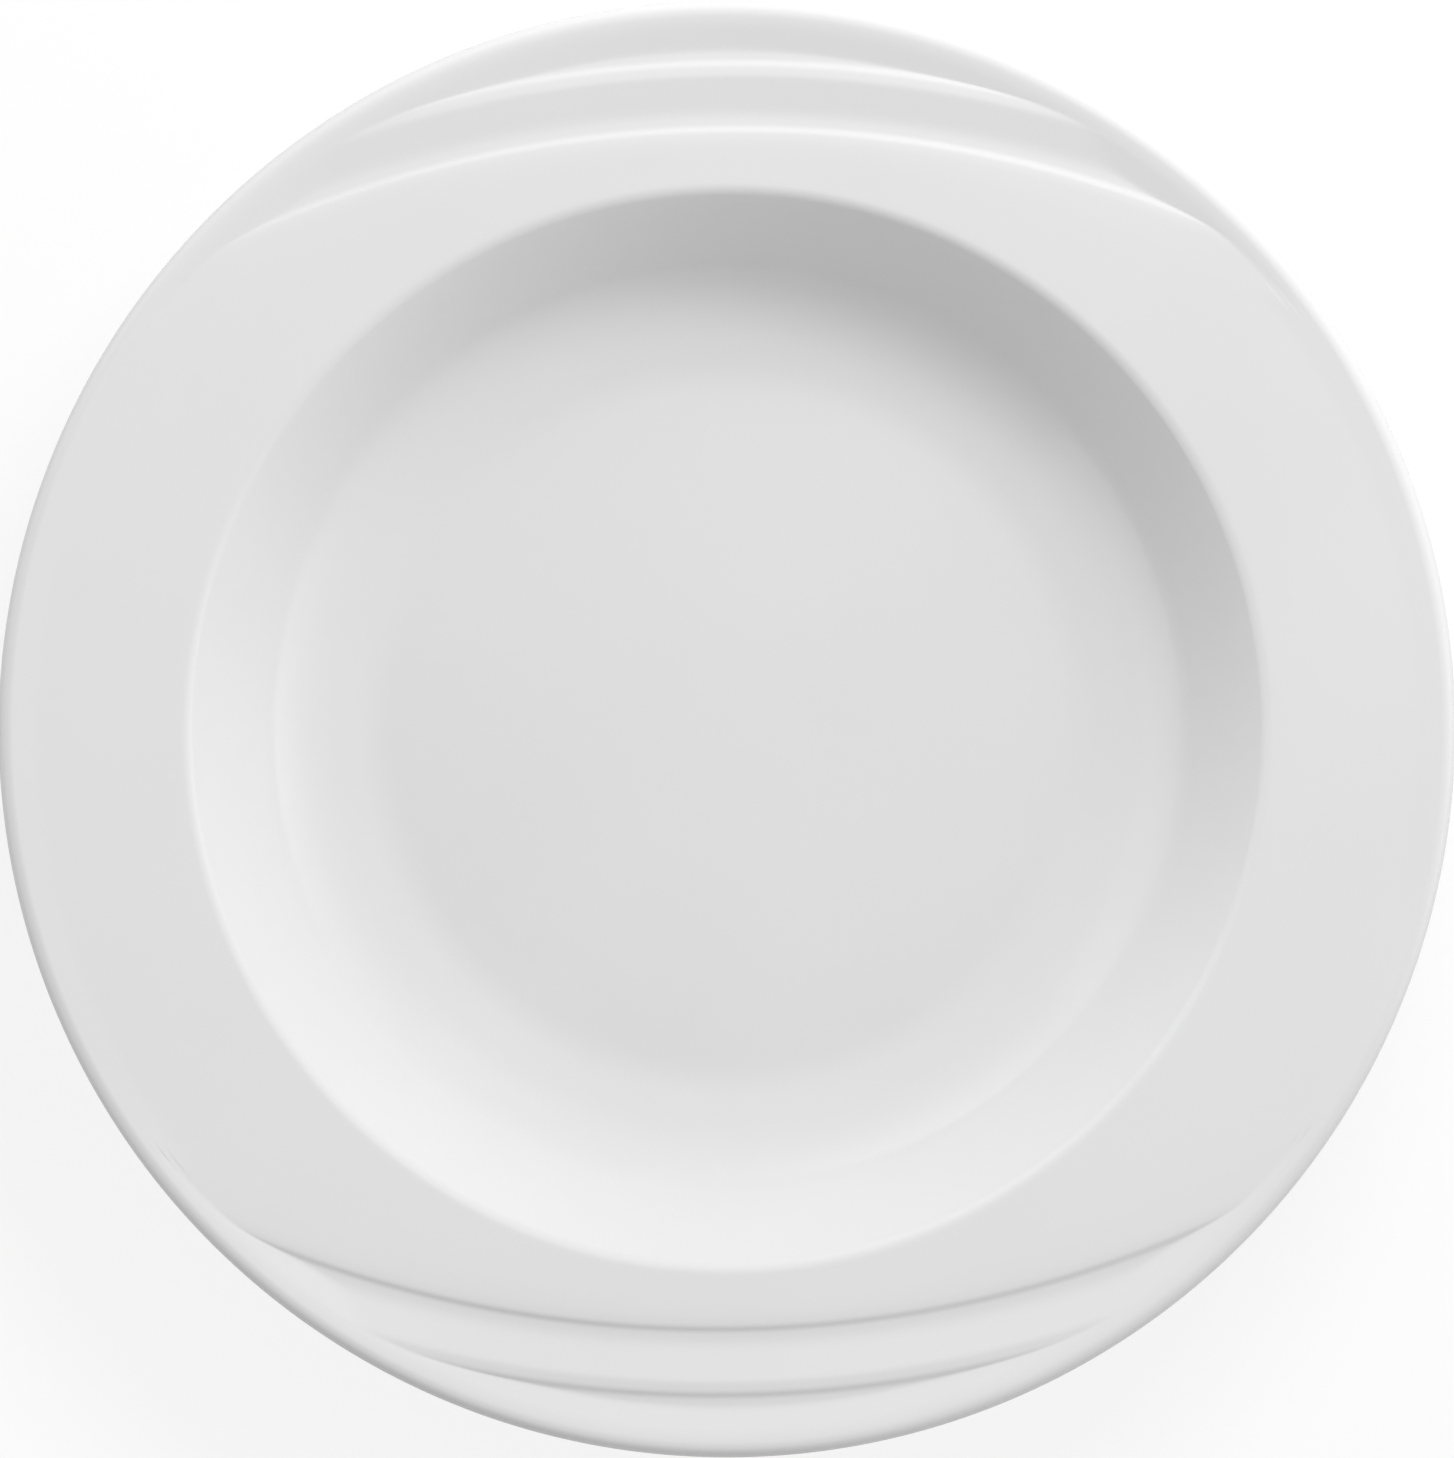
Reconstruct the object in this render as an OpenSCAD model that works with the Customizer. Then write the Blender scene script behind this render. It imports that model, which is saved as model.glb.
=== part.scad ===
// Rimmed soup plate: a fired porcelain body, the glaze fused over it, and the glaze inside its foot ring.
// The rim carries two scalloped coves at each end of one diameter, along Y.
// Origin: centre of the foot ring, on the table. +Z is up.

/* [Plate] */
// Diameter over the lip
plate_d = 230; // [215:1:260]
// Width of the rim, from the lip in to the verge, where the well begins
rim_w = 30.4; // [27:0.2:34]
// Height of the well's floor above the table
floor_h = 10; // [8.5:0.1:13]
// Depth of the well, from the verge to its floor
well_depth = 24.3; // [20:0.1:28]
// Rise of the rim from the verge to the lip, in degrees
rim_angle = 8; // [5:0.5:11]

/* [Well] */
// Slope of the heel, the low start of the well's wall, in degrees
heel_angle = 17; // [12:0.5:20]
// Width of the heel, up to the bend of the wall
heel_w = 13.85; // [11:0.05:16]
// Slope of the well's wall below the verge, in degrees
wall_angle = 55; // [50:0.5:60]
// Radius between the floor and the heel
heel_round = 18; // [10:0.5:22]
// Radius between the heel and the wall
bend_round = 34; // [20:0.5:36]
// Radius over the verge
verge_round = 5; // [3:0.1:7]

/* [Thickness] */
// Thickness of the well's floor
floor_t = 5.4; // [4.4:0.1:6.4]
// Thickness of the well's wall
wall_t = 5; // [4:0.1:5.6]
// Thickness of the rim
rim_t = 4.6; // [3.8:0.1:5.4]
// Radius under the verge, on the back
back_verge_round = 7; // [4:0.5:12]
// Radius under the bend of the wall, on the back
back_bend_round = 38; // [24:0.5:40]

/* [Lip] */
// Width of the upturned border inside the edge
lip_w = 6.2; // [5:0.1:8]
// Rise of that border, in degrees
lip_angle = 11.5; // [10:0.1:14]
// Radius where the rim turns up into the border
lip_root_round = 20; // [8:0.5:30]
// Radius over the top of the edge
lip_round = 2.4; // [1.8:0.1:2.8]
// Radius under the edge
lip_under_round = 2.1; // [1.2:0.1:2.6]

/* [Foot] */
// Distance from the edge of the well's floor out to the foot ring's outer side
foot_step = 3; // [1:0.1:5]
// Width of the foot ring where it stands
foot_w = 4.6; // [4:0.1:6]
// Lean of the foot ring's two sides, in degrees
foot_draft = 8; // [4:0.5:12]
// Radius of the foot ring's standing edges
foot_round = 1.2; // [0.6:0.1:1.5]
// Radius between the back and the foot ring
foot_root_round = 2.5; // [1.5:0.1:3.5]
// Radius between the recess under the floor and the foot ring
recess_round = 2; // [1:0.1:2.6]

/* [Coves] */
// Radius of the arc that each crest follows
crest_r = 190.5; // [170:0.5:210]
// Distance from the plate's edge in to the first crest
crest_inset = 20.2; // [18.5:0.1:21.5]
// Distance between the two crests
crest_step = 10.3; // [9:0.1:10.8]
// Width of the soft start of a crest's shoulder
lead_w = 3; // [2.6:0.1:4]
// Slope of that start, down from the rim, in degrees
lead_angle = 2.5; // [2:0.5:4]
// Width of the shoulder inside a crest
shoulder_w = 2; // [1.6:0.1:2.4]
// Slope of the shoulder, down from the rim, in degrees
shoulder_angle = 9; // [7:0.5:11]
// Radius at the start of the shoulder
shoulder_round = 12; // [4:0.5:14]
// Slope of the drop outside a crest, down from the rim, in degrees
scarp_angle = 38; // [30:0.5:44]
// Radius over a crest
crest_round = 2.2; // [1:0.1:2.6]
// Radius in a cove's root
root_round = 2.2; // [1:0.1:2.6]
// Width of the toe between a crest and its cove's floor
toe_w = 2.2; // [1.8:0.1:2.6]
// Slope of the toe, down from the rim, in degrees
toe_angle = 7; // [5:0.5:9]
// Radius where the toe turns up into the cove's floor
toe_round = 9; // [4:0.5:12]
// Rise of a cove's floor, from the rim, in degrees
cove_angle = 9.5; // [8:0.1:10.5]
// Width of plain rim between a cove's floor and the next crest
cove_end = 1.8; // [1.4:0.1:2.2]
// Width of the lip outside the crown, where the coves' flank ends
crown_w = 2.9; // [2.7:0.1:3.4]
// Width of the soft start of the flank
crown_lead = 0.9; // [0.7:0.1:1.2]
// Drop of that start, from the border of the lip, in degrees
crown_angle = 4.5; // [3:0.5:6]
// Radius between it and the flank
crown_round = 8; // [3:0.5:10]
// Rise of the flank between a cove and the lip, from the rim, in degrees
flank_angle = 14; // [11:0.5:18]

/* [Glaze] */
// Thickness of the glaze
glaze_t = 0.25; // [0.2:0.01:0.35]
// Height of the foot ring left bare of glaze
bare_h = 1.8; // [1.6:0.1:2.6]

/* [Hidden] */
plate_r = plate_d / 2;
verge_r = plate_r - rim_w;
inner_crest = plate_r - crest_inset;
crown_r = plate_r - crown_w;
heel_rise = heel_w * tan(heel_angle);
turns = 180;
cove_turns = 360;
arc_step = 5;
arc_error = 0.006;
most_share = 0.49;
bare = 0;
glazed = 1;
bisque = [0.93, 0.92, 0.9];
gloss = [0.96, 0.96, 0.955];

// Key points of the profile, as [radius, height]
floor_p = [0, floor_h];
verge_p = [verge_r, floor_h + well_depth];
bend_p = verge_p - (well_depth - heel_rise) * [1 / tan(wall_angle), 1];
heel_p = bend_p - [heel_w, heel_rise];
foot_r = heel_p[0] - heel_round * tan(heel_angle / 2) + foot_step;
lip_p = toward(verge_p, rim_angle, (plate_r - lip_w - verge_r) / cos(rim_angle));
edge_p = [plate_r, 0];
under_rim_p = toward(verge_p, rim_angle - 90, rim_t);
under_wall_p = toward(verge_p, wall_angle - 90, wall_t);
under_heel_p = toward(heel_p, heel_angle - 90, wall_t);
foot_p = [foot_r, 0];
foot_in_p = [foot_r - foot_w, 0];
recess_p = [0, floor_h - floor_t];

// The profile's straight edges, walked over the face from the centre, round the lip and back under.
// Each is [a point on it, its direction, whether it is glazed, the radius of the corner at its end].
profile = [
    [floor_p, 0, glazed, heel_round],
    [heel_p, heel_angle, glazed, bend_round],
    [verge_p, wall_angle, glazed, verge_round],
    [verge_p, rim_angle, glazed, lip_root_round],
    [lip_p, lip_angle, glazed, lip_round],
    [edge_p, -90, glazed, lip_under_round],
    [under_rim_p, 180 + rim_angle, glazed, back_verge_round],
    [under_wall_p, 180 + wall_angle, glazed, back_bend_round],
    [under_heel_p, 180 + heel_angle, glazed, foot_root_round],
    [foot_p, 270 - foot_draft, glazed, foot_round],
    [foot_in_p, 180, bare, foot_round],
    [foot_in_p, 90 + foot_draft, glazed, recess_round],
    [recess_p, 180, glazed, 0]
];

// The crown line, where the coves' flank leaves the lip
crown_p = toward(lip_p, lip_angle, (crown_r - lip_p[0]) / cos(lip_angle));
flank_p = toward(crown_p, lip_angle + crown_angle, -crown_lead);
flank_reach = lip_p[0] - inner_crest + crest_step;

function toward(p, angle, far) = [p[0] + far * cos(angle), p[1] + far * sin(angle)];

// Where the line through p at one angle crosses the line through q at another
function meet(p, a, q, b) =
    toward(p, a, ((q[0] - p[0]) * sin(b) - (q[1] - p[1]) * cos(b)) / sin(b - a));

// An edge moved inwards, to its right, by the glaze that covers it
function inset(edge, skin) = toward(edge[0], edge[1] - 90, skin * edge[2]);

// The corner between an edge and the one after it
function corner_at(edges, i, skin) =
    meet(inset(edges[i], skin), edges[i][1], inset(edges[i + 1], skin), edges[i + 1][1]);

// The points of one rounded corner b, between a and c, with the radius limited by the edges it joins.
// turn is the change of direction there, positive to the left.
function rounded(a, b, c, angle, turn, radius) =
    let (
        wanted = radius * tan(abs(turn) / 2),
        cut = min(wanted, norm(b - a) * most_share, norm(c - b) * most_share),
        r = cut / tan(abs(turn) / 2),
        side = sign(turn),
        start = toward(b, angle, -cut),
        centre = toward(start, angle + side * 90, r),
        steps = ceil(abs(turn) / max(arc_step, 2 * acos(1 - arc_error / r)))
    )
    [for (s = [0:steps]) toward(centre, angle - side * 90 + turn * s / steps, r)];

// A turn brought between -180 and 180 degrees
function turn_of(from, to) = (to - from + 540) % 360 - 180;

// The outline between two end points, with every corner between its edges rounded.
// A hollow corner gains the skin that lies in it, and an outer corner loses it.
function outline(first, edges, last, skin) =
    let (
        n = len(edges) - 1,
        corners = [for (i = [0:n - 1]) corner_at(edges, i, skin)],
        path = concat([first], corners, [last])
    )
    concat(
        [first],
        [
            for (i = [0:n - 1])
                let (
                    turn = turn_of(edges[i][1], edges[i + 1][1]),
                    thin = skin * edges[i][2] * edges[i + 1][2]
                )
                each rounded(path[i], path[i + 1], path[i + 2], edges[i][1], turn,
                             edges[i][3] + sign(turn) * thin)
        ],
        [last]
    );

// The plate's whole profile, less the thickness of its glaze if a skin is given
function plate_outline(skin) =
    outline(floor_p - [0, skin], profile, recess_p + [0, skin], skin);

// The plate turned round its axis, before its coves
module blank(skin) {
    rotate_extrude($fn = turns)
        polygon(plate_outline(skin));
}

// Everything above the flank that rises from the coves to the lip
module above_flank(skin) {
    edges = [
        [flank_p, rim_angle + flank_angle, glazed, crown_round],
        [crown_p, lip_angle + crown_angle, glazed, 0]
    ];
    low = toward(inset(edges[0], skin), edges[0][1], -flank_reach);
    high = toward(inset(edges[1], skin), edges[1][1], crown_w);
    rotate_extrude($fn = turns)
        polygon(concat(
            outline(low, edges, high, skin),
            [high + [0, flank_reach], low + [0, high[1] - low[1] + flank_reach]]
        ));
}

// The section of the space above one crest and its cove. Its first point is inside the crest,
// where the soft start of the shoulder leaves the rim, and its last is out beyond the next crest.
function cove_section(rim, skin) =
    let (
        lead = toward([0, 0], rim, -lead_w),
        shoulder = toward([0, 0], rim, -shoulder_w),
        next = toward([0, 0], rim, crest_step - cove_end),
        toe = toward(next, rim + cove_angle, toe_w - crest_step + cove_end),
        brow = meet([0, 0], rim - 90, shoulder, rim - shoulder_angle),
        foot = meet([0, 0], rim - 90, toe, rim - toe_angle),
        edges = [
            [lead, rim - lead_angle, glazed, shoulder_round],
            [shoulder, rim - shoulder_angle, glazed, crest_round],
            [(brow + foot) / 2, rim - scarp_angle, glazed, root_round],
            [toe, rim - toe_angle, glazed, toe_round],
            [next, rim + cove_angle, glazed, 0]
        ],
        start = toward(inset(edges[0], skin), edges[0][1], -lead_w),
        end = toward(inset(edges[4], skin), edges[4][1], crest_step)
    )
    concat(
        outline(start, edges, end, skin),
        [end + [0, crest_step], start + [0, crest_step + end[1] - start[1]]]
    );

// The space above one crest and its cove, turned round the crest's own leaning axis.
// The lean lets the crest, which runs out towards the lip at both ends, climb with the rim.
module above_cove(crest, skin) {
    back = crest_r - crest;
    slope = tan(rim_angle);
    lean = atan(2 * slope * back / (crest + crown_r));
    translate([0, crest, verge_p[1] + (crest - verge_r) * slope])
        rotate([-lean, 0, 0])
            translate([0, -crest_r * cos(lean), 0])
                rotate_extrude($fn = cove_turns)
                    translate([crest_r * cos(lean), 0])
                        polygon(cove_section(rim_angle + lean, skin));
}

// The two coves at each end of the plate's Y axis
module coves(skin) {
    for (side = [0, 1])
        mirror([0, side, 0])
            for (crest = [inner_crest, inner_crest + crest_step])
                intersection() {
                    above_flank(skin);
                    above_cove(crest, skin);
                }
}

module plate(skin) {
    difference() {
        blank(skin);
        coves(skin);
    }
}

// The fired clay body, bare only on the foot ring's standing edge
module porcelain_body() {
    color(bisque)
        plate(glaze_t);
}

// One coat of glaze over the face, round the lip and down the back to the foot ring
module glaze_coat() {
    color(gloss)
        difference() {
            plate(0);
            plate(glaze_t);
            cylinder(r = foot_r - foot_w / 2, h = floor_h - floor_t / 2, $fn = turns);
            cylinder(r = foot_r + foot_w, h = bare_h, $fn = turns);
        }
}

// The glaze in the recess, which the bare foot ring parts from the rest
module recess_glaze() {
    color(gloss)
        rotate_extrude($fn = turns)
            intersection() {
                difference() {
                    polygon(plate_outline(0));
                    polygon(plate_outline(glaze_t));
                }
                translate([0, bare_h])
                    square([foot_r - foot_w / 2, floor_h - floor_t / 2 - bare_h]);
            }
}

porcelain_body();
glaze_coat();
recess_glaze();
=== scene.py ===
# A white porcelain soup plate with a wide rim, scalloped coves and a glossy glaze.
# Lengths of the plate are millimetres, as on a drawing, and angles are degrees. Blender
# gets metres and radians.
import math
from typing import NamedTuple

import bpy
import numpy as np
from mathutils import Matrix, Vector


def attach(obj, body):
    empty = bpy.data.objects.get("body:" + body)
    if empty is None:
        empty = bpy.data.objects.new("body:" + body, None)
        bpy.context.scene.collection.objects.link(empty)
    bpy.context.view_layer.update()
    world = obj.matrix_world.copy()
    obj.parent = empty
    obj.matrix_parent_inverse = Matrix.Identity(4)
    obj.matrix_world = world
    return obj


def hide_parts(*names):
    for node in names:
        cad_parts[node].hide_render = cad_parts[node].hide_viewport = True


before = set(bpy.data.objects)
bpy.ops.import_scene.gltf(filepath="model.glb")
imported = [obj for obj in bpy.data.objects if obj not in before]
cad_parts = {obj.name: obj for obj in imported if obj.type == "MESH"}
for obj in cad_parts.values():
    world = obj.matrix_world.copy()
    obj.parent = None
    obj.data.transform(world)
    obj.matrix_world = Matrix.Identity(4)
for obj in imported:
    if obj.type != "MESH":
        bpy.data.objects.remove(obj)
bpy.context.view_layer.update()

MM = 0.001

# Plate
PLATE_R = 115.0
VERGE_R = 84.6
FLOOR_R = 54.0
FLOOR_H = 10.0
WELL_DEPTH = 24.3
RIM_ANGLE = 8.0
# Well
HEEL_ANGLE = 17.0
HEEL_W = 13.85
HEEL_ROUND = 18.0
BEND_ROUND = 34.0
VERGE_ROUND = 3.0
BROW_W = 0.55
# Thickness
FLOOR_T = 5.4
WALL_T = 5.0
RIM_T = 4.6
BACK_VERGE_ROUND = 7.0
BACK_BEND_ROUND = 38.0
# Lip
LIP_W = 6.2
LIP_ANGLE = 11.5
LIP_ROOT_ROUND = 20.0
LIP_ROUND = 2.4
LIP_UNDER_ROUND = 2.1
# Foot
FOOT_R = 57.0
FOOT_W = 4.6
FOOT_DRAFT = 8.0
FOOT_ROUND = 1.2
FOOT_ROOT_ROUND = 2.5
RECESS_ROUND = 2.0
# Coves
CREST_R = 190.5
INNER_CREST = 94.8
CREST_STEP = 10.3
LEAD_W = 3.0
LEAD_ANGLE = 2.5
SHOULDER_W = 2.0
SHOULDER_ANGLE = 9.0
SHOULDER_ROUND = 12.0
SCARP_ANGLE = 38.0
CREST_ROUND = 2.2
TOE_W = 2.2
TOE_ANGLE = 7.0
ROOT_ROUND = 2.2
TOE_ROUND = 9.0
COVE_ANGLE = 9.5
COVE_END = 1.8
CROWN_W = 3.4
FLANK_ANGLE = 14.0
# The slopes added to those of the profile, as radius and degrees: the floor is crowned a
# little, the wall's foot is easier and its upper half steeper
WELL_FORM = [
    (0, 0), (54.5, -1.7), (59.5, -4), (61.5, -3), (63, -1), (64.5, -1.2),
    (67.6, -6), (72.2, -8), (75.2, 5), (77, 8), (82, 8), (84, 0),
]
# Soft joins where the surfaces of rim, coves and flank meet, as heights
RIM_JOIN = 0.04
FLANK_JOIN = 0.12
CROWN_JOIN = 0.25
# Glaze: the height below which the foot is bare, the bead at the glaze's edge, and the
# hair's breadth that keeps the body's face from lying in the coat's
GLAZE_T = 0.25
BARE_H = 1.8
BEAD = 0.12
KISS = 0.02

BARE, GLAZED = 0, 1

# Mesh: points in a ring, degrees that one step of a rounded corner turns by at most, and
# how far a step may cut inside the arc
SEGMENTS = 360
ARC_STEP = 3.5
SKIN_ARC_STEP = 12.0
FINE_STEP = 1.0
ARC_ERROR = 0.003
# The longest step between two rings
FACE_STEP = 6
SKIN_STEP = 12
BODY_STEP = 4.5
# The part of the rim whose rings follow the coves, and the last radius before it and the
# first after it
RIM_START = 86.8
RIM_END = 113.4
WELL_END = RIM_START - 0.2
LIP_START = RIM_END + 0.1
RIM_RINGS = 86
SKIN_RIM_RINGS = 20
# How much closer the rings lie at the crests and at the crown, and over what width
RIM_SAMPLES = 600
EVEN_RINGS = 1.2
CREST_RINGS = 7
CROWN_RINGS = 2
CROWD_W = 1.6
# Rounds in which the height of a leaning cove is found
COVE_ROUNDS = 6

# Colours
DULL_WHITE = (0.80, 0.80, 0.80)
WHITE = (0.82, 0.82, 0.82)
BARE_CLAY = (0.78, 0.765, 0.73)
RUBBED_CLAY = (0.69, 0.675, 0.645)
FLOOR_COLOUR = (0.9, 0.9, 0.9)

# The photograph's frame, which the plate fills from edge to edge, a little turned
PHOTO_H = 1458
PLATE_RADIUS_PX = 728.0
PLATE_TURN = 1.15
LENS = 180.0
SENSOR = 36.0
LIP_LEVEL = 36.0

# The stage's floor in metres, and the glow that makes it white for the camera
FLOOR_HALF = 6.0
FLOOR_ROUGHNESS = 0.9
FLOOR_GLOW = 1.04
FLOOR_GLOW_SHARE = 0.78
# The soft box, in metres and watts
KEY_AZIMUTH = 26
KEY_ELEVATION = 50
KEY_FAR = 0.75
KEY_SIZE = (0.375, 0.25)
KEY_POWER = 3.0
KEY_AIM = (0, 0, 0.02)
# Light that comes from everywhere, and broad glows as azimuth, elevation and strength
ROOM_LIGHT = 0.305
GLOW_FALL = 8.0
GLOWS = [(90, 12, 1.58), (150, 12, 0.25), (240, 12, 0.62), (330, 12, 1.36)]
# A tall panel to the left, seen in the glaze alone: the azimuths of its sides, the
# elevation of its top, its strength and how sharp its edges are
PANEL_SIDES = (230, 310)
PANEL_TOP = 50
PANEL_LIGHT = 0.45
PANEL_EDGE = 60.0


class Edge(NamedTuple):
    """A straight edge of a profile, and the radius of the corner at its end."""

    point: tuple
    angle: float
    glazed: int
    radius: float


def rad(angle):
    return math.radians(angle)


def toward(p, angle, far):
    """The point at a distance from p in a direction given in degrees."""
    return np.array([p[0] + far * math.cos(rad(angle)), p[1] + far * math.sin(rad(angle))])


def meet(p, a, q, b):
    """Where the line through p at one angle crosses the line through q at another."""
    across = (q[0] - p[0]) * math.sin(rad(b)) - (q[1] - p[1]) * math.cos(rad(b))
    return toward(p, a, across / math.sin(rad(b - a)))


def inset(edge, skin):
    """A point of an edge moved inwards, to its right, by the glaze that covers it."""
    return toward(edge.point, edge.angle - 90, skin * edge.glazed)


def rounded(a, b, c, angle, turn, radius, arc_step):
    """The points of one rounded corner b between a and c."""
    half = math.tan(rad(abs(turn) / 2))
    just_half = 0.49
    cut = min(
        radius * half,
        np.linalg.norm(b - a) * just_half,
        np.linalg.norm(c - b) * just_half,
    )
    r = cut / half
    side = math.copysign(1, turn)
    centre = toward(toward(b, angle, -cut), angle + side * 90, r)
    fair_step = 2 * math.degrees(math.acos(1 - min(ARC_ERROR / r, 1)))
    steps = max(2, math.ceil(abs(turn) / max(arc_step, fair_step)))
    start = angle - side * 90
    return [toward(centre, start + turn * s / steps, r) for s in range(steps + 1)]


def outline(first, edges, last, skin, arc_step):
    """The outline between two end points, with every corner between its edges rounded."""
    corners = [
        meet(inset(e, skin), e.angle, inset(f, skin), f.angle)
        for e, f in zip(edges, edges[1:])
    ]
    path = [np.array(first, float), *corners, np.array(last, float)]
    points = [path[0]]
    for i, (e, f) in enumerate(zip(edges, edges[1:])):
        turn = (f.angle - e.angle + 540) % 360 - 180
        radius = e.radius + math.copysign(skin * e.glazed * f.glazed, turn)
        a, b, c = path[i : i + 3]
        points += rounded(a, b, c, e.angle, turn, radius, arc_step)
    return np.array(points + [path[-1]])


def filled(path, most):
    """A path with points added so that none of its steps is longer than most."""
    points = [path[0]]
    for a, b in zip(path, path[1:]):
        parts = max(1, math.ceil(np.linalg.norm(b - a) / most))
        points += [a + (b - a) * s / parts for s in range(1, parts + 1)]
    return np.array(points)


heel_p = (FLOOR_R + HEEL_ROUND * math.tan(rad(HEEL_ANGLE / 2)), FLOOR_H)
verge_p = (VERGE_R, FLOOR_H + WELL_DEPTH)
bend_p = (heel_p[0] + HEEL_W, FLOOR_H + HEEL_W * math.tan(rad(HEEL_ANGLE)))
WALL_ANGLE = math.degrees(math.atan2(verge_p[1] - bend_p[1], verge_p[0] - bend_p[0]))
# The face of the wall meets the rim a little outside the drawing's verge
brow_p = toward(verge_p, RIM_ANGLE, BROW_W)
FACE_ANGLE = math.degrees(math.atan2(brow_p[1] - bend_p[1], brow_p[0] - bend_p[0]))
rim_w = (PLATE_R - LIP_W - VERGE_R) / math.cos(rad(RIM_ANGLE))
lip_p = toward(verge_p, RIM_ANGLE, rim_w)
crown_r = PLATE_R - CROWN_W
crown_p = toward(lip_p, LIP_ANGLE, (crown_r - lip_p[0]) / math.cos(rad(LIP_ANGLE)))
foot_in_p = (FOOT_R - FOOT_W, 0)

# Over the face from the centre, round the lip and back under to the recess's centre
back_rim_p = toward(verge_p, RIM_ANGLE - 90, RIM_T)
back_wall_p = toward(verge_p, WALL_ANGLE - 90, WALL_T)
back_heel_p = toward(heel_p, HEEL_ANGLE - 90, WALL_T)
PROFILE = [
    Edge((0, FLOOR_H), 0, GLAZED, HEEL_ROUND),
    Edge(heel_p, HEEL_ANGLE, GLAZED, BEND_ROUND),
    Edge(brow_p, FACE_ANGLE, GLAZED, VERGE_ROUND),
    Edge(verge_p, RIM_ANGLE, GLAZED, LIP_ROOT_ROUND),
    Edge(lip_p, LIP_ANGLE, GLAZED, LIP_ROUND),
    Edge((PLATE_R, 0), -90, GLAZED, LIP_UNDER_ROUND),
    Edge(back_rim_p, 180 + RIM_ANGLE, GLAZED, BACK_VERGE_ROUND),
    Edge(back_wall_p, 180 + WALL_ANGLE, GLAZED, BACK_BEND_ROUND),
    Edge(back_heel_p, 180 + HEEL_ANGLE, GLAZED, FOOT_ROOT_ROUND),
    Edge((FOOT_R, 0), 270 - FOOT_DRAFT, GLAZED, FOOT_ROUND),
    Edge(foot_in_p, 180, BARE, FOOT_ROUND),
    Edge(foot_in_p, 90 + FOOT_DRAFT, GLAZED, RECESS_ROUND),
    Edge((0, FLOOR_H - FLOOR_T), 180, GLAZED, 0),
]


def plate_outline(skin, arc_step):
    """The plate's whole profile, drawn in by a skin of glaze."""
    first, last = (0, FLOOR_H - skin), (0, FLOOR_H - FLOOR_T + skin)
    return outline(first, PROFILE, last, skin, arc_step)


def well_form(r):
    """The height that the added slopes of the well give at a radius, none at the verge."""
    radii, slopes = np.array(WELL_FORM).T
    grid = np.linspace(0, radii[-1], 400)
    rise = np.cumsum(np.tan(np.radians(np.interp(grid, radii, slopes)))) * grid[1]
    return np.interp(r, grid, rise - rise[-1], right=0)


def soft_min(a, b, join):
    """The lower of two heights, with the crease between them rounded."""
    near = np.clip(1 - np.abs(a - b) / join, 0, None)
    return np.minimum(a, b) - near * near * join / 4


def soft_max(a, b, join):
    """The higher of two heights, with the crease between them rounded."""
    return -soft_min(-a, -b, join)


def crest_frame(crest):
    """How a crest's axis leans, and the height of its apex on the rim."""
    slope = math.tan(rad(RIM_ANGLE))
    back = CREST_R - crest
    lean = math.degrees(math.atan(2 * slope * back / (crest + crown_r)))
    return back, lean, verge_p[1] + (crest - VERGE_R) * slope


def crest_profile(lean, skin):
    """The section across a crest and its cove, in the crest's leaning frame."""
    rim = RIM_ANGLE + lean
    lead = toward((0, 0), rim, -LEAD_W)
    shoulder = toward((0, 0), rim, -SHOULDER_W)
    cove_end = toward((0, 0), rim, CREST_STEP - COVE_END)
    cove = rim + COVE_ANGLE
    toe = toward(cove_end, cove, -(CREST_STEP - COVE_END - TOE_W))
    on_shoulder = meet((0, 0), rim - 90, shoulder, rim - SHOULDER_ANGLE)
    on_toe = meet((0, 0), rim - 90, toe, rim - TOE_ANGLE)
    edges = [
        Edge(lead, rim - LEAD_ANGLE, GLAZED, SHOULDER_ROUND),
        Edge(shoulder, rim - SHOULDER_ANGLE, GLAZED, CREST_ROUND),
        Edge((on_shoulder + on_toe) / 2, rim - SCARP_ANGLE, GLAZED, ROOT_ROUND),
        Edge(toe, rim - TOE_ANGLE, GLAZED, TOE_ROUND),
        Edge(cove_end, cove, GLAZED, 0),
    ]
    start = toward(inset(edges[0], skin), edges[0].angle, -LEAD_W)
    end = toward(inset(edges[-1], skin), cove, 4 * CREST_STEP)
    return outline(start, edges, end, skin, FINE_STEP)


def cove_height(x, y, crest, skin):
    """The height of a crest's shoulder and cove, endless inside them. y is positive."""
    back, lean, crest_h = crest_frame(crest)
    u, w = crest_profile(lean, skin).T
    slope = np.gradient(w, u)
    cos, sin = math.cos(rad(lean)), math.sin(rad(lean))
    radius = CREST_R * cos
    z = np.zeros_like(x)
    for _ in range(COVE_ROUNDS):
        along = (y - crest) * cos - z * sin + radius
        far = np.hypot(x, along)
        up = (y - crest) * sin + z * cos
        gap = np.interp(far - radius, u, w) - up
        z = z + gap / (cos + np.interp(far - radius, u, slope) * sin * along / far)
    return np.where(far - radius < u[0], np.inf, z + crest_h)


def top_curve(skin):
    """Radii and heights of the top from the well's wall to the lip, before its coves."""
    path = plate_outline(skin, FINE_STEP)
    top = path[: int(np.argmax(path[:, 0])) + 1]
    return top[top[:, 0] > VERGE_R - VERGE_ROUND]


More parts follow.
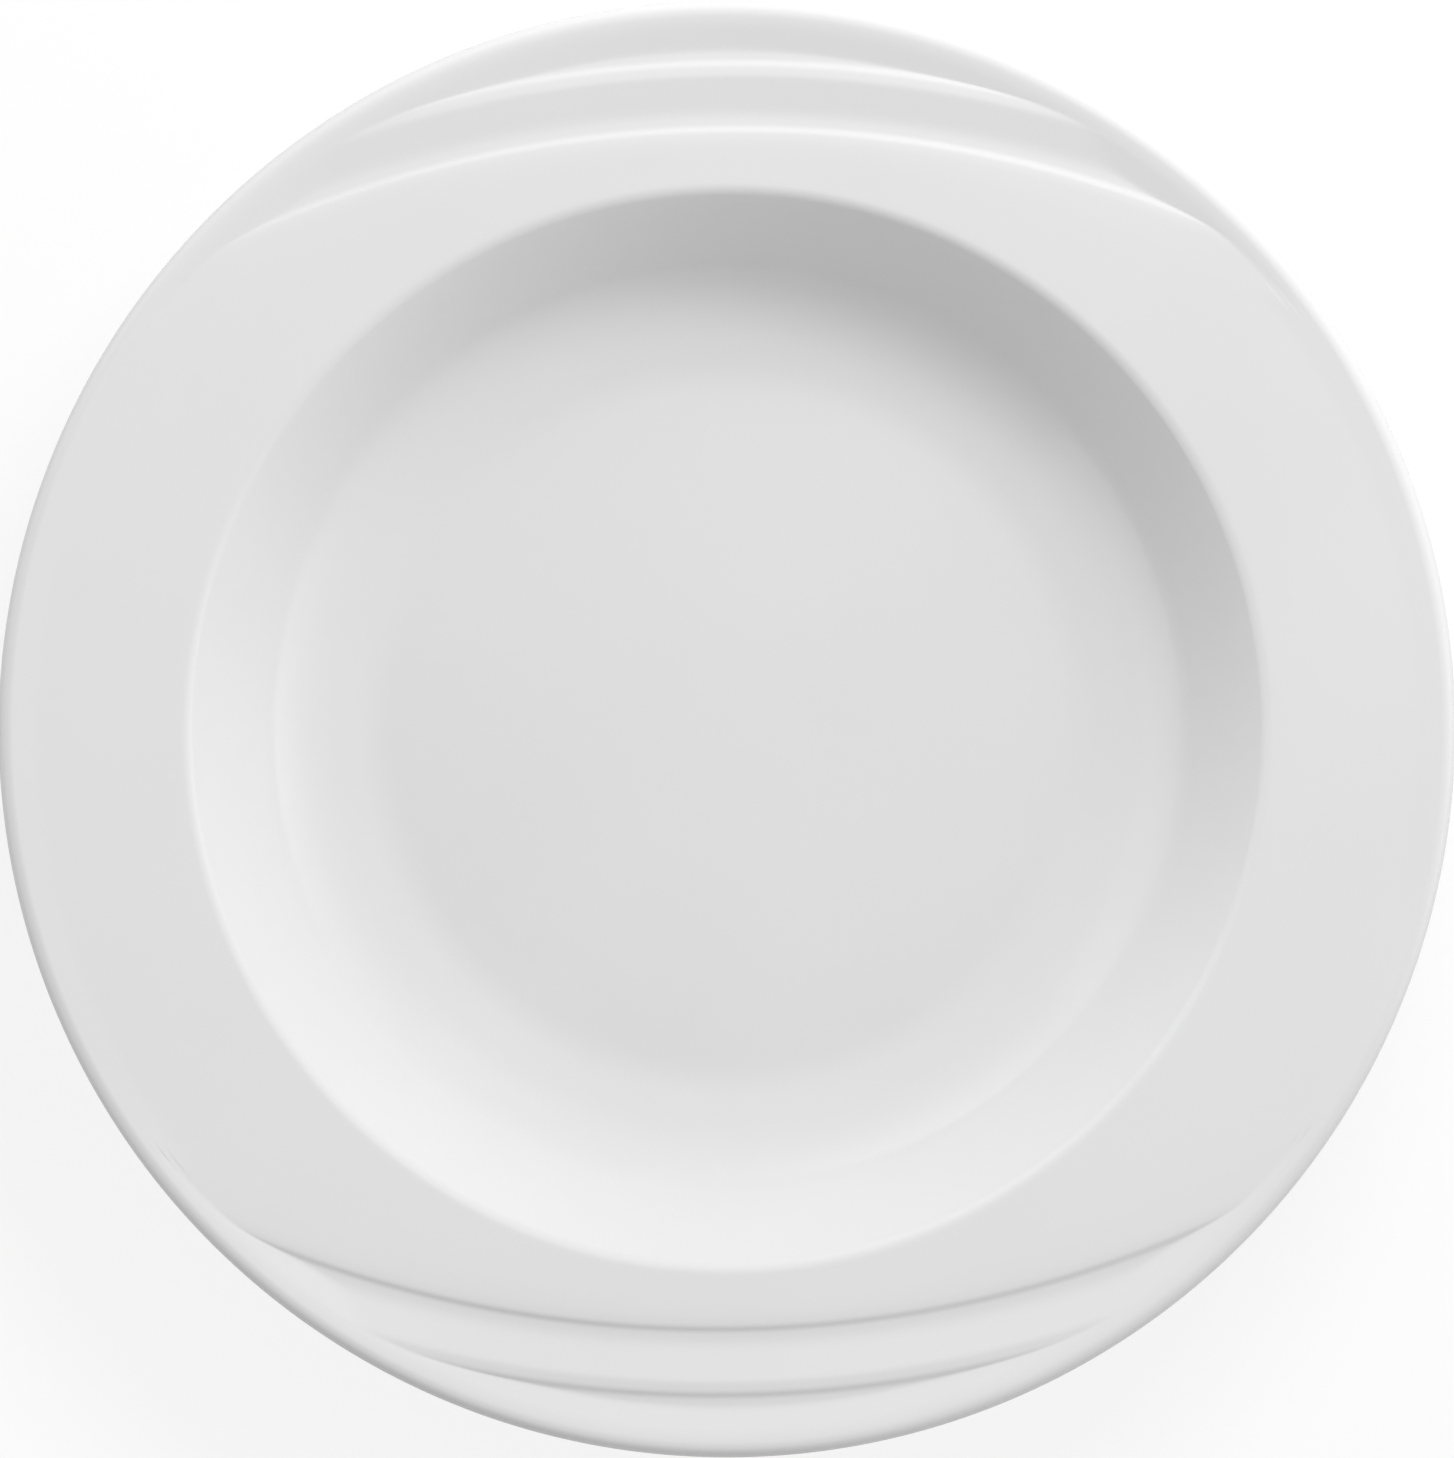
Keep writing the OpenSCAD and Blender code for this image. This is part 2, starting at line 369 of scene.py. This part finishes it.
def rim_height(x, y, skin):
    """The height of the rim with its coves."""
    r = np.hypot(x, y)
    top_r, top_z = top_curve(skin).T
    blank = np.interp(r, top_r, top_z)
    flank_angle = RIM_ANGLE + FLANK_ANGLE
    drop = skin / math.cos(rad(flank_angle))
    flank = crown_p[1] - drop - (crown_r - r) * math.tan(rad(flank_angle))
    flank = soft_min(flank, blank, CROWN_JOIN)
    height = blank
    for crest in (INNER_CREST, INNER_CREST + CREST_STEP):
        cove = soft_max(cove_height(x, np.abs(y), crest, skin), flank, FLANK_JOIN)
        height = soft_min(height, cove, RIM_JOIN)
    return height


def crest_radius(phi, crest):
    """How far from the plate's centre a crest lies at an angle from X."""
    back = CREST_R - crest
    toward_crest = np.abs(np.sin(phi))
    return np.sqrt(CREST_R**2 - back**2 * (1 - toward_crest**2)) - back * toward_crest


def rim_radii(phi, rings):
    """Ring radii across the rim at each angle, crowded at the crests and the crown."""
    r = np.linspace(RIM_START, RIM_END, RIM_SAMPLES)
    crowd = np.full((len(phi), len(r)), EVEN_RINGS)
    for crest in (INNER_CREST, INNER_CREST + CREST_STEP):
        at = np.minimum(crest_radius(phi, crest), crown_r)[:, None]
        crowd += CREST_RINGS * np.exp(-(((r - at) / CROWD_W) ** 2))
    crowd += CROWN_RINGS * np.exp(-(((r - crown_r) / CROWD_W) ** 2))
    total = np.cumsum(crowd, axis=1)
    total = (total - total[:, :1]) / (total[:, -1:] - total[:, :1])
    share = np.linspace(0, 1, rings)
    return np.array([np.interp(share, t, r) for t in total]).T


def rings_of(skin, arc_step, most, rim_rings):
    """The plate's surface as rings of points, from the floor's centre to the recess's."""
    phi = np.linspace(0, 2 * math.pi, SEGMENTS, endpoint=False)

    def ring(radius, height):
        level = np.full(SEGMENTS, height)
        return np.stack([radius * np.cos(phi), radius * np.sin(phi), level], 1)

    path = filled(plate_outline(skin, arc_step), most)
    widest = int(np.argmax(path[:, 0]))
    well = [(r, z + well_form(r)) for r, z in path[1:widest] if r < WELL_END]
    rest = [(r, z) for i, (r, z) in enumerate(path) if i >= widest or r > LIP_START]
    rim_r = rim_radii(phi, rim_rings)
    x, y = rim_r * np.cos(phi), rim_r * np.sin(phi)
    rim = np.stack([x, y, rim_height(x, y, skin)], 2)
    inner = [ring(r, z) for r, z in well]
    outer = [ring(r, z) for r, z in rest if r > 0]
    return np.concatenate([inner, rim, outer])


def ended(rings, height):
    """The rings up to where they first go below the height, with a last one just at it."""
    z = rings[:, 0, 2]
    past = int(np.argmax(z < height))
    t = (height - z[past - 1]) / (z[past] - z[past - 1])
    edge = rings[past - 1] + (rings[past] - rings[past - 1]) * t
    return np.concatenate([rings[:past], [edge]])


def lathe(name, rings, poles, material, node):
    """A closed mesh from rings of points. poles are the heights of its ends on the axis."""
    count = len(rings)
    verts = rings.reshape(-1, 3)
    i, j = np.meshgrid(np.arange(count - 1), np.arange(SEGMENTS), indexing="ij")
    k = (j + 1) % SEGMENTS
    near, far = i * SEGMENTS, (i + 1) * SEGMENTS
    quads = np.stack([near + j, far + j, far + k, near + k], -1)
    faces = quads.reshape(-1, 4).tolist()
    first_pole, last_pole = len(verts), len(verts) + 1
    last_ring = (count - 1) * SEGMENTS
    steps = [(s, (s + 1) % SEGMENTS) for s in range(SEGMENTS)]
    faces += [(first_pole, a, b) for a, b in steps]
    faces += [(last_pole, last_ring + b, last_ring + a) for a, b in steps]
    verts = np.concatenate([verts, [(0, 0, height) for height in poles]]) * MM
    mesh = bpy.data.meshes.new(name)
    mesh.from_pydata(verts.tolist(), [], faces)
    mesh.materials.append(material)
    mesh.shade_smooth()
    mesh.validate()
    piece = bpy.data.objects.new(name, mesh)
    bpy.context.scene.collection.objects.link(piece)
    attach(piece, "root")
    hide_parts(node)


def coat(outer, inner):
    """Rings of a thin closed coat: over its outer face, round its edge and back inside."""
    a, b = outer[-1], inner[-1]
    edge = []
    for share in (0.25, 0.5, 0.75):
        bulge = np.array([0, 0, BEAD * math.sin(math.pi * share)])
        edge.append(a + (b - a) * share - bulge)
    return np.concatenate([outer, edge, inner[::-1]])


def surface_noise(tree, scale, detail):
    """Noise over the piece, from 0 to 1."""
    coords = tree.nodes.new("ShaderNodeTexCoord")
    noise = tree.nodes.new("ShaderNodeTexNoise")
    noise.inputs["Scale"].default_value = scale
    noise.inputs["Detail"].default_value = detail
    tree.links.new(coords.outputs["Object"], noise.inputs["Vector"])
    return noise.outputs["Fac"]


def mapped(tree, value, low, high, to_low, to_high):
    """A value taken from one range to another."""
    node = tree.nodes.new("ShaderNodeMapRange")
    node.inputs["From Min"].default_value = low
    node.inputs["From Max"].default_value = high
    node.inputs["To Min"].default_value = to_low
    node.inputs["To Max"].default_value = to_high
    tree.links.new(value, node.inputs["Value"])
    return node.outputs["Result"]


def math_node(tree, operation, first, second=0.0, third=0.0):
    """The result of one math node. Each input is a number or another node's result."""
    node = tree.nodes.new("ShaderNodeMath")
    node.operation = operation
    for socket, value in zip(node.inputs, (first, second, third)):
        if isinstance(value, (int, float)):
            socket.default_value = value
        else:
            tree.links.new(value, socket)
    return node.outputs[0]


def mixed(tree, factor, first, second):
    """A colour between two."""
    node = tree.nodes.new("ShaderNodeMix")
    node.data_type = "RGBA"
    tree.links.new(factor, node.inputs["Factor"])
    node.inputs["A"].default_value = (*first, 1)
    node.inputs["B"].default_value = (*second, 1)
    return node.outputs["Result"]


def new_material(name):
    """A material with its node tree and its shader."""
    material = bpy.data.materials.new(name)
    material.use_nodes = True
    return material, material.node_tree, material.node_tree.nodes["Principled BSDF"]


def glaze_material():
    """White porcelain, hardly uneven in tone and gloss, under a clear and glossy coat."""
    material, tree, shader = new_material("glaze")
    tone = mapped(tree, surface_noise(tree, scale=18, detail=3), 0.3, 0.7, 0, 1)
    colour = mixed(tree, tone, DULL_WHITE, WHITE)
    tree.links.new(colour, shader.inputs["Base Color"])
    rough = mapped(tree, surface_noise(tree, scale=60, detail=4), 0.3, 0.7, 0.42, 0.5)
    tree.links.new(rough, shader.inputs["Roughness"])
    shader.inputs["IOR"].default_value = 1.5
    shader.inputs["Specular IOR Level"].default_value = 0.2
    shader.inputs["Coat Weight"].default_value = 0.7
    shader.inputs["Coat Roughness"].default_value = 0.1
    shader.inputs["Coat IOR"].default_value = 1.5
    return material


def bisque_material():
    """Bare fired porcelain: matte, faintly warm, with fine grain and rubbed grey marks."""
    material, tree, shader = new_material("bisque")
    marks = mapped(tree, surface_noise(tree, scale=140, detail=6), 0.45, 0.7, 0, 1)
    colour = mixed(tree, marks, BARE_CLAY, RUBBED_CLAY)
    tree.links.new(colour, shader.inputs["Base Color"])
    shader.inputs["Roughness"].default_value = 0.85
    bump = tree.nodes.new("ShaderNodeBump")
    bump.inputs["Strength"].default_value = 0.35
    bump.inputs["Distance"].default_value = 0.05 * MM
    tree.links.new(surface_noise(tree, scale=2500, detail=4), bump.inputs["Height"])
    tree.links.new(bump.outputs["Normal"], shader.inputs["Normal"])
    return material


def make_camera():
    """A long lens straight above, whose frame the plate fills as in the photograph."""
    data = bpy.data.cameras.new("camera")
    data.lens = LENS
    data.sensor_width = SENSOR
    data.clip_start, data.clip_end = 0.01, 20
    camera = bpy.data.objects.new("camera", data)
    bpy.context.scene.collection.objects.link(camera)
    high = PHOTO_H * PLATE_R / PLATE_RADIUS_PX
    camera.location = (0, 0, (LIP_LEVEL + high * LENS / SENSOR) * MM)
    camera.rotation_euler = (0, 0, rad(-PLATE_TURN))
    bpy.context.scene.camera = camera


def bearing(azimuth, elevation):
    """A direction. Azimuth 0 is towards the top of the picture and 90 is to its right."""
    a, e = rad(azimuth), rad(elevation)
    return Vector((math.sin(a) * math.cos(e), math.cos(a) * math.cos(e), math.sin(e)))


def make_key():
    """One soft box that faces the plate and isn't seen in its glaze."""
    data = bpy.data.lights.new("key", "AREA")
    data.shape = "RECTANGLE"
    data.size, data.size_y = KEY_SIZE
    data.energy = KEY_POWER
    key = bpy.data.objects.new("key", data)
    bpy.context.scene.collection.objects.link(key)
    key.location = bearing(KEY_AZIMUTH, KEY_ELEVATION) * KEY_FAR
    away = key.location - Vector(KEY_AIM)
    key.rotation_euler = away.to_track_quat("Z", "Y").to_euler()
    key.visible_glossy = False


def make_floor():
    """A white sweep that keeps the plate's soft shadow."""
    mesh = bpy.data.meshes.new("floor")
    low, high = -FLOOR_HALF, FLOOR_HALF
    corners = [(low, low, 0), (high, low, 0), (high, high, 0), (low, high, 0)]
    mesh.from_pydata(corners, [], [(0, 1, 2, 3)])
    floor = bpy.data.objects.new("floor", mesh)
    bpy.context.scene.collection.objects.link(floor)
    material, tree, shader = new_material("floor")
    shader.inputs["Base Color"].default_value = (*FLOOR_COLOUR, 1)
    shader.inputs["Roughness"].default_value = FLOOR_ROUGHNESS
    shader.inputs["Specular IOR Level"].default_value = 0
    glow = tree.nodes.new("ShaderNodeEmission")
    glow.inputs["Strength"].default_value = FLOOR_GLOW
    path = tree.nodes.new("ShaderNodeLightPath")
    share = math_node(tree, "MULTIPLY", path.outputs["Is Camera Ray"], FLOOR_GLOW_SHARE)
    mix = tree.nodes.new("ShaderNodeMixShader")
    tree.links.new(share, mix.inputs["Fac"])
    tree.links.new(shader.outputs[0], mix.inputs[1])
    tree.links.new(glow.outputs[0], mix.inputs[2])
    tree.links.new(mix.outputs[0], tree.nodes["Material Output"].inputs["Surface"])
    mesh.materials.append(material)


def make_world():
    """An even studio with broad soft glows and one panel. The camera sees white."""
    world = bpy.data.worlds.new("world")
    bpy.context.scene.world = world
    world.use_nodes = True
    tree = world.node_tree
    coords = tree.nodes.new("ShaderNodeTexCoord")

    def along(azimuth, elevation):
        """The cosine between a direction and the ray's."""
        dot = tree.nodes.new("ShaderNodeVectorMath")
        dot.operation = "DOT_PRODUCT"
        tree.links.new(coords.outputs["Generated"], dot.inputs[0])
        dot.inputs[1].default_value = bearing(azimuth, elevation)
        return dot.outputs["Value"]

    total = ROOM_LIGHT
    for azimuth, elevation, strength in GLOWS:
        near = along(azimuth, elevation)
        fall = math_node(tree, "MULTIPLY_ADD", near, GLOW_FALL, -GLOW_FALL)
        glow = math_node(tree, "EXPONENT", fall)
        total = math_node(tree, "MULTIPLY_ADD", glow, strength, total)
    path = tree.nodes.new("ShaderNodeLightPath")
    panel = path.outputs["Is Glossy Ray"]
    left, right = PANEL_SIDES
    top = math.sin(rad(PANEL_TOP)) * PANEL_EDGE
    for inside in (
        math_node(tree, "MULTIPLY", along(left + 90, 0), PANEL_EDGE),
        math_node(tree, "MULTIPLY", along(right - 90, 0), PANEL_EDGE),
        math_node(tree, "MULTIPLY_ADD", along(0, 90), -PANEL_EDGE, top),
    ):
        inside.node.use_clamp = True
        panel = math_node(tree, "MULTIPLY", panel, inside)
    total = math_node(tree, "MULTIPLY_ADD", panel, PANEL_LIGHT, total)
    white = math_node(tree, "SUBTRACT", 1.0, total)
    seen = math_node(tree, "MULTIPLY_ADD", path.outputs["Is Camera Ray"], white, total)
    back = tree.nodes["Background"]
    back.inputs["Color"].default_value = (1, 1, 1, 1)
    tree.links.new(seen, back.inputs["Strength"])


glaze = glaze_material()
bisque = bisque_material()

crown_h = FLOOR_H + float(well_form(0))
recess_h = FLOOR_H - FLOOR_T
body_skin = GLAZE_T + KISS
outer_rings = rings_of(0, ARC_STEP, FACE_STEP, RIM_RINGS)
under_rings = rings_of(GLAZE_T, SKIN_ARC_STEP, SKIN_STEP, SKIN_RIM_RINGS)
body_rings = rings_of(body_skin, ARC_STEP, BODY_STEP, SKIN_RIM_RINGS)

lathe(
    "glaze_coat_mesh",
    coat(ended(outer_rings, BARE_H), ended(under_rings, BARE_H)),
    (crown_h, crown_h - GLAZE_T),
    glaze,
    "glaze_coat",
)
lathe(
    "recess_glaze_mesh",
    coat(ended(outer_rings[::-1], BARE_H), ended(under_rings[::-1], BARE_H))[::-1],
    (recess_h + GLAZE_T, recess_h),
    glaze,
    "recess_glaze",
)
lathe(
    "porcelain_body_mesh",
    body_rings,
    (crown_h - body_skin, recess_h + body_skin),
    bisque,
    "porcelain_body",
)

make_camera()
make_floor()
make_world()
make_key()
bpy.context.scene.view_settings.view_transform = "Standard"
